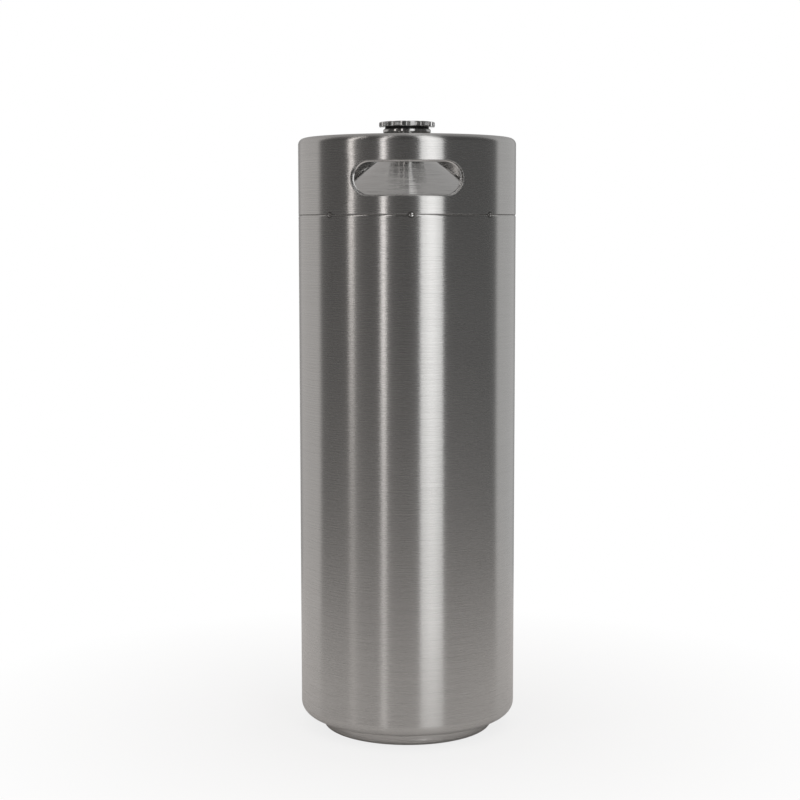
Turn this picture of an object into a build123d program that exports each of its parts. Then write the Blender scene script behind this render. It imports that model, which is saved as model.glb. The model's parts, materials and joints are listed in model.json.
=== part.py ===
from build123d import *
from math import cos, radians, tan
import os

# A double-wall steel mini keg, in millimetres. Z is up, the floor is z = 0 and the keg's axis is
# the Z axis. The two finger slots in the handle ring face -Y (front) and +Y (rear).

# Outer shell
body_diameter = 185.0
shell_wall = 0.8
body_height = 441.4            # floor to the corner where the side would meet the shoulder cone
shoulder_angle = 34.3          # degrees above level
shoulder_bend_radius = 2.5
shoulder_skirt = 12.0          # straight side below the shoulder's corner
base_skirt = 22.0              # straight side above the base's underside
base_corner_radius = 10.0
neck_bend_radius = 5.0
neck_stub_length = 6.0         # from the cone's end to the collar's step

# Foot ring, its welds and the cover under the base
foot_height = 11.5
foot_diameter = 146.0
foot_wall = 1.2
foot_bend_radius = 2.4
foot_hem_width = 6.0
foot_hem_rise = 3.5
foot_hem_radius = 1.6
foot_weld_count = 6
foot_weld_length = 9.0
foot_weld_leg = 2.2
cover_margin = 13.0            # from the foot ring's outside to the cover's edge
cover_wall = 0.8
cover_flange_width = 8.0
cover_depth = 2.6
cover_bend_radius = 1.6

# Evacuation port in the middle of the base
port_well_diameter = 26.0
port_well_depth = 3.0
port_well_bend_radius = 1.6
port_hole_diameter = 5.0
seal_plug_diameter = 12.0
seal_plug_dome = 1.6

# Inner vessel
vacuum_gap = 5.2
vessel_wall = 0.8
vessel_base_gap = 6.0          # between the two bases
vessel_knuckle_radius = 24.0
vessel_dish_depth = 9.0
vessel_dish_radius = 60.0
vessel_seat_diameter = 56.0    # flat middle that stands on the support
vessel_base_skirt = 14.0
vessel_shoulder_skirt = 14.0
vessel_shoulder_radius = 12.0
vessel_neck_bend_radius = 3.0
vessel_neck_diameter = 31.6

# What the vacuum space holds
support_diameter = 48.0
support_wall = 0.8
support_flange_width = 5.0
support_bend_radius = 1.4
foil_thickness = 0.2
foil_margin = 40.0             # bare vessel above and below the foil
foil_clearance = 0.1
getter_diameter = 9.0
getter_height = 2.4
getter_clearance = 0.15
getter_cup_wall = 0.4
getter_cup_height = 2.0
getter_offset = 46.0           # from the keg's axis

# Weld beads left on the hidden side of each seam
bead_width = 2.6
bead_height = 0.6
bead_clearance = 0.05

# Neck collar
neck_diameter = 36.4
collar_height_above_step = 16.4
collar_spigot_length = 8.0
spigot_clearance = 0.05
lip_diameter = 40.6
lip_height = 4.6
lip_top_bevel_height = 0.7
lip_top_bevel_width = 0.8
lip_bottom_bevel_height = 2.0
lip_round_radius = 0.5
neck_weld_width = 1.8
neck_weld_height = 0.35

# Screw thread of the collar and the cap
thread_pitch = 3.0
thread_root_width = 1.8
thread_crest_width = 0.9
thread_sink = 0.3              # how far a ridge's foot is let into its wall
collar_thread_diameter = 32.0  # across the grooves
collar_thread_depth = 1.0
collar_thread_turns = 3.5
collar_thread_top_margin = 1.6
collar_bore_bevel = 0.5
cap_thread_clearance = 0.3     # radial, at the crest of the cap's ridge
cap_thread_depth = 1.1
cap_thread_turns = 2.5

# Cap and gasket
gasket_diameter = 37.2
gasket_thickness = 1.6
gasket_round_radius = 0.3
gasket_plug_clearance = 0.35
cap_diameter = 47.0
cap_thickness = 4.25
cap_edge_radius = 0.6
cap_lobe_count = 12
cap_notch_radius = 1.7
cap_notch_depth = 1.3
cap_lobe_corner_radius = 0.9
cap_plug_length = 14.8
cap_plug_wall = 2.4
cap_plug_bevel = 0.5
cap_roof_thickness = 2.4       # steel left above the plug's hollow, within the disc

# Handle ring
ring_wall = 1.2
ring_height = 64.2
ring_top_radius = 5.5
ring_rim_width = 11.0
ring_rim_drop = 5.0
ring_rim_radius = 2.6
seam_clearance = 0.1
slot_width = 86.6
slot_height = 26.0
slot_centre_rise = 28.55       # above the ring's bottom edge
slot_bend_radius = 1.9
slot_edge_depth = 3.2          # how far the rolled edge turns in
ring_weld_count = 8
ring_weld_length = 5.0
ring_weld_turn = 2.0           # degrees from the front to the nearest weld
ring_weld_inset = 0.05         # beads stop just short of the outside

# One overrun serves all cuts; edges are picked by points at these shares of their length
overrun = 5.0
edge_shares = (0, 0.5, 1)
pick_tolerance = 0.05

# Radii and levels worked out from the sizes above
body_radius = body_diameter / 2
shoulder_slope = tan(radians(shoulder_angle))
neck_radius = neck_diameter / 2
foot_radius = foot_diameter / 2
vessel_radius = body_radius - shell_wall - vacuum_gap
vessel_neck_radius = vessel_neck_diameter / 2
spigot_radius = neck_radius - shell_wall - spigot_clearance
groove_radius = collar_thread_diameter / 2
plug_radius = groove_radius - cap_thread_clearance - cap_thread_depth


def cone_level(radius):
    """Height of the shoulder cone's outside at a radius."""
    return body_height + (body_radius - radius) * shoulder_slope


neck_root = cone_level(neck_radius)
collar_step = neck_root + neck_stub_length
collar_bottom = collar_step - collar_spigot_length
collar_top = collar_step + collar_height_above_step
collar_thread_start = collar_top - collar_thread_top_margin - thread_pitch * collar_thread_turns
gasket_top = collar_top + gasket_thickness
cap_top = gasket_top + cap_thickness
ring_bottom = cone_level(body_radius - ring_wall) + seam_clearance
ring_top = ring_bottom + ring_height
slot_level = ring_bottom + slot_centre_rise
shell_floor = foot_height + shell_wall
vessel_bottom = shell_floor + vessel_base_gap
shoulder_normal_gap = (shell_wall + vacuum_gap) / cos(radians(shoulder_angle))
vessel_base_seam = vessel_bottom + vessel_dish_depth + vessel_knuckle_radius + vessel_base_skirt
vessel_shoulder_corner = cone_level(vessel_radius) - shoulder_normal_gap
vessel_shoulder_seam = vessel_shoulder_corner - vessel_shoulder_skirt
shell_base_seam = foot_height + base_skirt
shell_shoulder_seam = body_height - shoulder_skirt


def sheet(points, bends, wall, side):
    """Sheet metal turned about Z: a path of (radius, height) points, bent at its inner points."""
    path = FilletPolyline(*points, radius=bends).wire()
    outline = path.offset_2d(wall, side=side)
    return revolve(Plane.XZ * make_face(outline), Axis.Z)


def turned(points):
    """A solid turned about Z from a closed outline of (radius, height, corner radius) points."""
    corners = [(radius, height) for radius, height, _ in points]
    outline = FilletPolyline(*corners, radius=[corner for _, _, corner in points], close=True)
    return revolve(Plane.XZ * make_face(outline.wire()), Axis.Z)


def tube(outer_radius, wall, bottom, top):
    """A plain tube on the Z axis."""
    inner_radius = outer_radius - wall
    return turned([
        (inner_radius, bottom, 0),
        (outer_radius, bottom, 0),
        (outer_radius, top, 0),
        (inner_radius, top, 0),
    ])


def bead(radius, level, height, width):
    """A weld bead round the axis, with its flat side at a radius and its crown that far proud."""
    flat = Line((radius, level - width / 2), (radius, level + width / 2))
    crown = ThreePointArc(flat @ 1, (radius + height, level), flat @ 0)
    return revolve(Plane.XZ * make_face([flat, crown]), Axis.Z)


def around(count, shape):
    """Copies of a shape turned evenly about Z."""
    step = 360 / count
    return Compound(children=[Rot(0, 0, step * index) * shape for index in range(count)])


def thread_ridge(root_radius, depth, start_level, turns, outward):
    """A right-hand trapezoid ridge on a wall of the given radius."""
    reach = depth if outward else -depth
    sink = -thread_sink if outward else thread_sink
    section_plane = Plane(origin=(root_radius, 0, start_level), x_dir=(1, 0, 0), z_dir=(0, -1, 0))
    section = Polyline(
        (sink, -thread_root_width / 2),
        (reach, -thread_crest_width / 2),
        (reach, thread_crest_width / 2),
        (sink, thread_root_width / 2),
        close=True,
    )
    path = Helix(thread_pitch, thread_pitch * turns, root_radius, center=(0, 0, start_level))
    return sweep(section_plane * make_face(section), path=path, is_frenet=True)


def make_outer_tube():
    return tube(body_radius, shell_wall, shell_base_seam, shell_shoulder_seam)


def make_outer_shoulder():
    path = [
        (body_radius, shell_shoulder_seam),
        (body_radius, body_height),
        (neck_radius, neck_root),
        (neck_radius, collar_step),
    ]
    return sheet(path, [shoulder_bend_radius, neck_bend_radius], shell_wall, Side.LEFT)


def make_outer_base():
    """Drawn cup with a well pressed up in its middle for the evacuation port."""
    well_radius = port_well_diameter / 2
    well_level = foot_height + port_well_depth
    path = [
        (body_radius, shell_base_seam),
        (body_radius, foot_height),
        (well_radius, foot_height),
        (well_radius - port_well_depth, well_level),
        (port_hole_diameter / 2, well_level),
    ]
    bends = [base_corner_radius, port_well_bend_radius, port_well_bend_radius]
    return sheet(path, bends, shell_wall, Side.RIGHT)


def make_seal_plug():
    """Solder in the port: a domed button under the well and a stem that fills its hole."""
    well_level = foot_height + port_well_depth
    button_radius = seal_plug_diameter / 2
    stem_radius = port_hole_diameter / 2 - bead_clearance
    stem_top = well_level + shell_wall
    return turned([
        (0, well_level - seal_plug_dome, 0),
        (button_radius - seal_plug_dome, well_level - seal_plug_dome, seal_plug_dome / 2),
        (button_radius, well_level, 0),
        (stem_radius, well_level, 0),
        (stem_radius, stem_top, 0),
        (0, stem_top, 0),
    ])


def make_base_cover():
    """Pan under the base: a flat flange against the steel and a floor set down below it."""
    flange_radius = foot_radius - cover_margin
    pan_radius = flange_radius - cover_flange_width
    flange_level = foot_height - cover_wall
    path = [
        (flange_radius, flange_level),
        (pan_radius, flange_level),
        (pan_radius - cover_depth, flange_level - cover_depth),
        (0, flange_level - cover_depth),
    ]
    return sheet(path, [cover_bend_radius, cover_bend_radius], cover_wall, Side.RIGHT)


def make_foot_ring():
    path = [
        (foot_radius, foot_height),
        (foot_radius, 0),
        (foot_radius - foot_hem_width, 0),
        (foot_radius - foot_hem_width, foot_hem_rise),
    ]
    return sheet(path, [foot_bend_radius, foot_hem_radius], foot_wall, Side.RIGHT)


def make_foot_welds():
    """Fillet welds in the corner between the foot ring's inside and the base."""
    wall_radius = foot_radius - foot_wall - bead_clearance
    corner = turned([
        (wall_radius - foot_weld_leg, foot_height, 0),
        (wall_radius, foot_height - foot_weld_leg, 0),
        (wall_radius, foot_height, 0),
    ])
    cutter = Pos(wall_radius, 0, foot_height) * Box(
        foot_weld_leg * 2 + overrun, foot_weld_length, foot_weld_leg * 2 + overrun
    )
    return around(foot_weld_count, corner & cutter)


def make_inner_tube():
    return tube(vessel_radius, vessel_wall, vessel_base_seam, vessel_shoulder_seam)


def make_inner_base():
    """Dished bottom with a flat middle, where the support carries it."""
    path = [
        (vessel_radius, vessel_base_seam),
        (vessel_radius, vessel_bottom + vessel_dish_depth),
        (vessel_seat_diameter / 2, vessel_bottom),
        (0, vessel_bottom),
    ]
    return sheet(path, [vessel_knuckle_radius, vessel_dish_radius], vessel_wall, Side.RIGHT)


def make_inner_shoulder():
    neck_end = cone_level(vessel_neck_radius) - shoulder_normal_gap
    path = [
        (vessel_radius, vessel_shoulder_seam),
        (vessel_radius, vessel_shoulder_corner),
        (vessel_neck_radius, neck_end),
        (vessel_neck_radius, collar_bottom),
    ]
    return sheet(path, [vessel_shoulder_radius, vessel_neck_bend_radius], vessel_wall, Side.LEFT)


def make_shell_weld(level):
    """Root bead of a girth weld, inside the outer shell."""
    return bead(body_radius - shell_wall - bead_clearance, level, -bead_height, bead_width)


def make_vessel_weld(level):
    """Bead of a girth weld, outside the inner vessel."""
    return bead(vessel_radius + bead_clearance, level, bead_height, bead_width)


def make_base_support():
    """Flanged ring between the two bases: wide flange down, top edge turned in under the vessel."""
    support_radius = support_diameter / 2
    path = [
        (support_radius + support_flange_width, shell_floor),
        (support_radius, shell_floor),
        (support_radius, vessel_bottom - support_wall),
        (support_radius - support_flange_width, vessel_bottom - support_wall),
    ]
    return sheet(path, [support_bend_radius, support_bend_radius], support_wall, Side.RIGHT)


def make_radiation_foil():
    outer_radius = vessel_radius + foil_clearance + foil_thickness
    bottom = vessel_base_seam + foil_margin
    top = vessel_shoulder_seam - foil_margin
    return tube(outer_radius, foil_thickness, bottom, top)


def make_getter_cup():
    """Shallow dish, open at the top, that stands on the base inside the vacuum space."""
    inner_radius = getter_diameter / 2 + getter_clearance
    outer_radius = inner_radius + getter_cup_wall
    floor = shell_floor + getter_cup_wall
    rim = shell_floor + getter_cup_height
    dish = turned([
        (0, shell_floor, 0),
        (outer_radius, shell_floor, 0),
        (outer_radius, rim, 0),
        (inner_radius, rim, 0),
        (inner_radius, floor, 0),
        (0, floor, 0),
    ])
    return Pos(getter_offset, 0, 0) * dish


def make_getter():
    floor = shell_floor + getter_cup_wall
    pellet = turned([
        (0, floor, 0),
        (getter_diameter / 2, floor, 0),
        (getter_diameter / 2, floor + getter_height, getter_clearance),
        (0, floor + getter_height, 0),
    ])
    return Pos(getter_offset, 0, 0) * pellet


def make_neck_collar():
    """Turned ring between both shoulders: spigot below, lip above, screw thread in its bore."""
    bore_radius = groove_radius - collar_thread_depth
    lip_radius = lip_diameter / 2
    lip_bottom = collar_top - lip_height
    groove_bottom = collar_thread_start - thread_root_width
    blank = turned([
        (bore_radius, collar_bottom, 0),
        (spigot_radius, collar_bottom, 0),
        (spigot_radius, collar_step, 0),
        (neck_radius, collar_step, 0),
        (neck_radius, lip_bottom, lip_round_radius),
        (lip_radius, lip_bottom + lip_bottom_bevel_height, lip_round_radius),
        (lip_radius, collar_top - lip_top_bevel_height, lip_round_radius),
        (lip_radius - lip_top_bevel_width, collar_top, 0),
        (groove_radius + collar_bore_bevel, collar_top, 0),
        (groove_radius, collar_top - collar_bore_bevel, 0),
        (groove_radius, groove_bottom, 0),
        (bore_radius, groove_bottom - collar_thread_depth, 0),
    ])
    ridge = thread_ridge(
        groove_radius, collar_thread_depth, collar_thread_start, collar_thread_turns, False
    )
    return blank + ridge


def make_neck_outer_weld():
    """Low bead over the joint of the shoulder's neck and the collar."""
    return bead(neck_radius + bead_clearance, collar_step, neck_weld_height, neck_weld_width)


def make_neck_inner_weld():
    """Fillet weld in the corner between the collar's lower end and the vessel's neck."""
    foot = vessel_neck_radius + bead_clearance
    leg = spigot_radius - foot
    return turned([
        (foot, collar_bottom, 0),
        (foot, collar_bottom - leg, 0),
        (foot + leg, collar_bottom, 0),
    ])


def make_handle_ring():
    """Tube on the shoulder's edge, with a rolled rim and two finger slots with rolled edges."""
    rim_radius = body_radius - ring_rim_width
    path = [
        (body_radius, ring_bottom),
        (body_radius, ring_top),
        (rim_radius, ring_top),
        (rim_radius, ring_top - ring_rim_drop),
    ]
    ring = sheet(path, [ring_top_radius, ring_rim_radius], ring_wall, Side.LEFT)
    slot_plane = Plane(origin=(0, 0, slot_level), x_dir=(1, 0, 0), z_dir=(0, -1, 0))
    reach = body_radius + overrun
    hole = slot_plane * extrude(SlotOverall(slot_width, slot_height), reach, both=True)
    sleeve_outline = SlotOverall(slot_width + 2 * ring_wall, slot_height + 2 * ring_wall)
    sleeve = slot_plane * extrude(sleeve_outline, reach, both=True)
    band = tube(body_radius, slot_edge_depth, slot_level - slot_height, slot_level + slot_height)
    ring = ring + (sleeve & band) - hole
    slot_edges = [edge for edge in ring.edges() if bounds_slot(edge)]
    inner_radius = body_radius - ring_wall
    inner_edges = [edge for edge in slot_edges if lies_at(edge, inner_radius)]
    ring = fillet(inner_edges, slot_bend_radius - ring_wall)
    outer_edges = [edge for edge in ring.edges() if bounds_slot(edge) and lies_at(edge, body_radius)]
    return fillet(outer_edges, slot_bend_radius)


def bounds_slot(edge):
    """Whether an edge lies level with the slots and their rolled edges."""
    reach = slot_height / 2 + ring_wall + pick_tolerance
    return abs(edge.center().Z - slot_level) < reach


def lies_at(edge, radius):
    """Whether an edge lies on the cylinder of a radius about Z, at its ends and its middle."""
    points = [edge @ share for share in edge_shares]
    return all(abs(Vector(p.X, p.Y, 0).length - radius) < pick_tolerance for p in points)


def make_ring_welds():
    """Tack welds that fill the seam between the handle ring's bottom edge and the shoulder."""
    outer_radius = body_radius - ring_weld_inset
    inner_radius = body_radius - ring_wall
    seam = turned([
        (inner_radius, ring_bottom, 0),
        (inner_radius, cone_level(inner_radius), 0),
        (outer_radius, cone_level(outer_radius), 0),
        (outer_radius, ring_bottom, 0),
    ])
    cutter = Pos(0, -body_radius, ring_bottom) * Rot(90, 0, 0) * Cylinder(
        ring_weld_length / 2, ring_wall * 2 + overrun
    )
    return around(ring_weld_count, Rot(0, 0, ring_weld_turn) * (seam & cutter))


def make_gasket():
    inner_radius = plug_radius + gasket_plug_clearance
    outer_radius = gasket_diameter / 2
    return turned([
        (inner_radius, collar_top, 0),
        (outer_radius, collar_top, gasket_round_radius),
        (outer_radius, gasket_top, gasket_round_radius),
        (inner_radius, gasket_top, 0),
    ])


def make_screw_cap():
    """Scalloped disc and hollow threaded plug, in one piece."""
    disc_radius = cap_diameter / 2
    notch_centre = disc_radius - cap_notch_depth + cap_notch_radius
    notch = Pos(0, notch_centre) * Circle(cap_notch_radius)
    outline = Circle(disc_radius) - around(cap_lobe_count, notch)
    outline = fillet(outline.vertices(), cap_lobe_corner_radius)
    disc = Pos(0, 0, gasket_top) * extrude(outline, cap_thickness)
    rim_edges = disc.edges().filter_by(GeomType.LINE, reverse=True)
    disc = fillet(rim_edges, cap_edge_radius)
    hollow_radius = plug_radius - cap_plug_wall
    hollow_top = cap_top - cap_roof_thickness
    plug_bottom = gasket_top - cap_plug_length
    plug = turned([
        (hollow_radius, plug_bottom, 0),
        (plug_radius - cap_plug_bevel, plug_bottom, 0),
        (plug_radius, plug_bottom + cap_plug_bevel, 0),
        (plug_radius, hollow_top, 0),
        (hollow_radius, hollow_top, 0),
    ])
    hollow = Pos(0, 0, plug_bottom) * Cylinder(
        hollow_radius, hollow_top - plug_bottom, align=(Align.CENTER, Align.CENTER, Align.MIN)
    )
    ridge_start = collar_thread_start + thread_pitch / 2
    ridge = thread_ridge(plug_radius, cap_thread_depth, ridge_start, cap_thread_turns, True)
    return disc + plug - hollow + ridge


pieces = {
    "outer_tube": make_outer_tube,
    "outer_shoulder": make_outer_shoulder,
    "outer_base": make_outer_base,
    "vacuum_seal_plug": make_seal_plug,
    "base_cover": make_base_cover,
    "foot_ring": make_foot_ring,
    "foot_ring_welds": make_foot_welds,
    "inner_tube": make_inner_tube,
    "inner_base": make_inner_base,
    "inner_shoulder": make_inner_shoulder,
    "inner_base_support": make_base_support,
    "radiation_foil": make_radiation_foil,
    "getter_cup": make_getter_cup,
    "getter_pellet": make_getter,
    "shell_base_weld": lambda: make_shell_weld(shell_base_seam),
    "shell_shoulder_weld": lambda: make_shell_weld(shell_shoulder_seam),
    "vessel_base_weld": lambda: make_vessel_weld(vessel_base_seam),
    "vessel_shoulder_weld": lambda: make_vessel_weld(vessel_shoulder_seam),
    "neck_collar": make_neck_collar,
    "neck_outer_weld": make_neck_outer_weld,
    "neck_inner_weld": make_neck_inner_weld,
    "handle_ring": make_handle_ring,
    "handle_ring_welds": make_ring_welds,
    "cap_gasket": make_gasket,
    "screw_cap": make_screw_cap,
}

os.makedirs("parts", exist_ok=True)
for name, make in pieces.items():
    shape = make()
    export_step(shape, f"parts/{name}.step")
    print(name, len(shape.solids()), round(shape.volume, 1), shape.is_valid)
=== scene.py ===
import json
from math import asin, cos, hypot, pi, radians, sin, sqrt, tan

import bmesh
import bpy
from mathutils import Matrix, Vector


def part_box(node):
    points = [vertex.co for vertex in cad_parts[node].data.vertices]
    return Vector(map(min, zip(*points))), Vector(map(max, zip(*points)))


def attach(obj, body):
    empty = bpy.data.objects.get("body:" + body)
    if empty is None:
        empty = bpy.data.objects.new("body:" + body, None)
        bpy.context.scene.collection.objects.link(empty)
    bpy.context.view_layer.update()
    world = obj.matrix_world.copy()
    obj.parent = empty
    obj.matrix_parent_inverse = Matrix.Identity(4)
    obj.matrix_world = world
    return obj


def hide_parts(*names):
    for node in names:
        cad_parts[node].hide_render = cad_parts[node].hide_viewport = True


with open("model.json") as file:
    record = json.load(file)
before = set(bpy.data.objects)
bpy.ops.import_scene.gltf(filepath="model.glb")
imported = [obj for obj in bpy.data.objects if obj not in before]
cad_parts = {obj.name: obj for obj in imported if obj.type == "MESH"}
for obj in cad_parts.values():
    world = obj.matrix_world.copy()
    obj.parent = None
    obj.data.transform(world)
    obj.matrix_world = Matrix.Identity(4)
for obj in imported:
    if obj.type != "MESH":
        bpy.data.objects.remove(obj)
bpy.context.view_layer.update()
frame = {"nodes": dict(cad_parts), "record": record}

bl_info = {
    "name": "Mini Keg",
    "version": (1, 0, 0),
    "blender": (4, 5, 0),
    "location": "View3D > Sidebar > Mini Keg",
    "description": "Builds the visible pieces of an insulated steel mini keg on its packed frame",
    "category": "Object",
}

MM = 0.001
COLLAR_STEPS = 128
PLUG_STEPS = 96
LOBE_STEPS = 48
WHITE = (1.0, 1.0, 1.0)


def top_of(node):
    """Highest level of a CAD node."""
    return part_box(node)[1].z


def bottom_of(node):
    """Lowest level of a CAD node."""
    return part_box(node)[0].z


def reach_of(node):
    """Largest distance of a round CAD node from the keg's axis."""
    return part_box(node)[1].x


def length(name, description, default):
    """A size that a user can set, given in millimetres."""
    return bpy.props.FloatProperty(
        name=name, description=description, default=default * MM, min=0.0, unit="LENGTH", precision=5
    )


def number(name, description, default):
    """A plain number that a user can set."""
    return bpy.props.FloatProperty(name=name, description=description, default=default)


def count(name, description, default):
    """A whole number that a user can set."""
    return bpy.props.IntProperty(name=name, description=description, default=default, min=1)


def colour(name, description, default):
    """A colour that a user can set."""
    return bpy.props.FloatVectorProperty(
        name=name, description=description, default=default, size=3, min=0.0, max=1.0, subtype="COLOR"
    )


def angle(name, description, default):
    """An angle that a user can set, given in degrees."""
    return bpy.props.FloatProperty(
        name=name, description=description, default=radians(default), subtype="ANGLE"
    )


class ShellSizes(bpy.types.PropertyGroup):
    """Sizes of the outer shell, the foot ring and the cover under the base."""

    wall: length("Wall", "Sheet thickness of the shell", 0.8)
    slope: angle("Shoulder slope", "Angle of the shoulder cone above level", 34.3)
    shoulder_skirt: length("Shoulder skirt", "Straight side below the shoulder's corner", 12.0)
    shoulder_bend: length("Shoulder bend", "Radius where the side turns into the cone", 2.5)
    neck_bend: length("Neck bend", "Radius where the cone turns up into the neck", 5.0)
    base_bend: length("Base bend", "Radius of the lower corner", 10.0)
    well_radius: length("Port well", "Radius of the well round the evacuation port", 13.0)
    well_depth: length("Port well depth", "How far the well is pressed up", 3.0)
    port_radius: length("Port", "Radius of the evacuation port", 2.5)
    foot_wall: length("Foot wall", "Sheet thickness of the foot ring", 1.2)
    foot_bend: length("Foot bend", "Radius of the foot ring's rolled edge", 2.4)
    hem_width: length("Foot hem", "Width of the foot ring's hem", 6.0)
    hem_rise: length("Foot hem rise", "Height of the hem's turned edge", 3.5)
    hem_bend: length("Foot hem bend", "Radius of the hem's inner bend", 1.6)
    cover_wall: length("Cover wall", "Sheet thickness of the cover", 0.8)
    cover_flange: length("Cover flange", "Width of the cover's flange", 8.0)
    cover_bend: length("Cover bend", "Radius of the cover's bends", 1.6)
    turn_steps: count("Steps round", "Faces round the keg", 192)


class RingSizes(bpy.types.PropertyGroup):
    """Sizes of the handle ring and its finger slots."""

    wall: length("Wall", "Sheet thickness of the ring", 1.2)
    top_bend: length("Top bend", "Radius of the rolled top", 5.5)
    rim_width: length("Rim width", "How far the rim turns in", 11.0)
    rim_drop: length("Rim drop", "How far the rim's edge turns down", 5.0)
    rim_bend: length("Rim bend", "Radius of the rim's inner bend", 2.6)
    slot_width: length("Slot width", "Width of a finger slot, at the outside", 88.6)
    slot_height: length("Slot height", "Height of a finger slot", 26.0)
    slot_rise: length("Slot height above the seam", "Level of the slot's middle", 28.55)
    slot_bend: length("Slot bend", "Radius where the slot's edge turns in", 0.25)
    slot_lean: angle("Slot lean", "How steeply the slot's edge goes in", 84.0)
    slot_wall: length("Slot wall", "Length of the slot's wall", 2.2)
    slot_valley: length("Slot valley", "Radius of the valley between the wall and the lip", 0.25)
    slot_valley_turn: angle("Slot valley turn", "Slope where the valley ends", 15.0)
    slot_lip_bend: length("Slot lip bend", "Radius where the lip starts", 0.3)
    slot_lip_lean: angle("Slot lip lean", "Slope of the lip round the opening", 40.0)
    slot_lip: length("Slot lip", "Width of the lip round the opening", 0.85)
    slot_roll: length("Slot roll", "Radius of the lip's rolled end", 0.4)
    slot_roll_turn: angle("Slot roll turn", "How far the lip's end is rolled back", 150.0)
    patch_half_width: length("Patch half width", "Half the width of the panel that holds a slot", 58.0)
    patch_half_height: length("Patch half height", "Half the height of that panel", 22.0)
    edge_round: length("Edge rounding", "Rounding of the sheet's cut edges", 0.2)


class NeckSizes(bpy.types.PropertyGroup):
    """Sizes of the neck collar and the screw thread."""

    lip_height: length("Lip height", "Height of the lip", 4.6)
    lip_under: length("Lip underside", "Height of the bevel under the lip", 2.0)
    lip_over: length("Lip top", "Height of the bevel over the lip", 0.7)
    lip_top_width: length("Lip top width", "Width of the bevel over the lip", 0.8)
    lip_round: length("Lip rounding", "Rounding of the lip's corners", 0.5)
    neck_radius: length("Neck", "Radius of the neck", 18.2)
    spigot_height: length("Spigot height", "Height of the part inside the shell's neck", 8.0)
    groove_radius: length("Thread grooves", "Radius across the collar's thread grooves", 16.0)
    thread_depth: length("Thread depth", "Depth of the collar's thread", 1.0)
    pitch: length("Pitch", "Rise of the thread for each turn", 3.0)
    turns: number("Turns", "Turns of the thread", 3.5)
    top_margin: length("Thread margin", "Plain bore above the thread", 1.6)
    root_width: length("Ridge root", "Width of a thread ridge at its foot", 1.8)
    crest_width: length("Ridge crest", "Width of a thread ridge at its crest", 0.9)


class CapSizes(bpy.types.PropertyGroup):
    """Sizes of the screw cap."""

    radius: length("Radius", "Radius across the lobes", 23.5)
    lobes: count("Lobes", "Lobes round the cap", 12)
    notch_radius: length("Notch", "Radius of a notch between lobes", 1.7)
    notch_depth: length("Notch depth", "Depth of a notch", 1.3)
    lobe_round: length("Lobe rounding", "Rounding where a notch meets a lobe", 0.55)
    edge_round: length("Edge rounding", "Rounding of the disc's edges", 0.6)
    rib_count: count("Ribs", "Grip ribs on each lobe", 9)
    rib_spread: angle("Rib spread", "Angle that the ribs of a lobe cover", 18.5)
    rib_width: length("Rib width", "Width of a grip rib", 0.55)
    rib_proud: length("Rib height", "How far a rib stands out of its lobe", 0.24)
    core_radius: length("Plug", "Radius of the plug between its turns", 14.6)
    plug_wall: length("Plug wall", "Wall of the hollow plug", 2.4)
    thread_depth: length("Thread depth", "Depth of the plug's thread", 1.1)
    thread_turns: number("Turns", "Turns of the plug's thread", 2.5)


class WeldSizes(bpy.types.PropertyGroup):
    """Sizes of the weld metal that shows."""

    tack_count: count("Seam tacks", "Tack welds under the handle ring", 8)
    tack_turn: angle("Tack turn", "From the front to the nearest tack weld", 2.0)
    tack_drop: length("Tack drop", "From the ring's lower edge down to a tack weld's middle", 0.7)
    tack_length: length("Tack length", "Length of a tack weld", 3.8)
    tack_height: length("Tack height", "Height of a tack weld", 2.4)
    tack_depth: length("Tack depth", "Thickness of a tack weld", 1.1)
    tack_slope: number("Tack slope", "Slope of a tack's bead at the scorch's rim", 0.48)
    # Size of the ring round each tack weld where the steel's colour is made darker.
    dark_ring_length: length("Scorch length", "Length of the scorched steel beside a tack", 6.6)
    dark_ring_height: length("Scorch height", "Height of the scorched steel beside a tack", 6.0)
    foot_count: count("Foot welds", "Welds inside the foot ring", 6)
    foot_length: length("Foot weld length", "Length of a foot weld", 9.0)
    scallops: count("Neck scallops", "Ripples of the weld round the neck", 96)
    scallop_height: length("Neck weld height", "Height of the neck's weld", 1.8)
    scallop_proud: length("Neck weld bulge", "How far the neck's weld stands out", 0.35)


class FinishColours(bpy.types.PropertyGroup):
    """Colours of the keg's finishes."""

    steel: colour("Steel", "Brushed stainless steel", (0.665, 0.66, 0.65))
    steel_dark: colour("Steel in the brush lines", "Darker lines of the brushing", (0.605, 0.60, 0.59))
    # Colour that the steel is made darker to, in a ring round each tack weld.
    dark_ring: colour("Dark ring", "Steel scorched by a tack weld", (0.25, 0.24, 0.23))
    turned: colour("Turned steel", "Polished turned steel", (0.70, 0.70, 0.695))
    weld: colour("Weld metal", "Weld metal as it was laid", (0.40, 0.39, 0.38))
    weld_tint: colour("Heat tint", "Weld metal darkened by its heat", (0.20, 0.17, 0.14))
    copper: colour("Copper foil", "Foil round the inner vessel", (0.80, 0.45, 0.31))
    rubber: colour("Gasket", "Black gasket", (0.009, 0.009, 0.0095))


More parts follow.
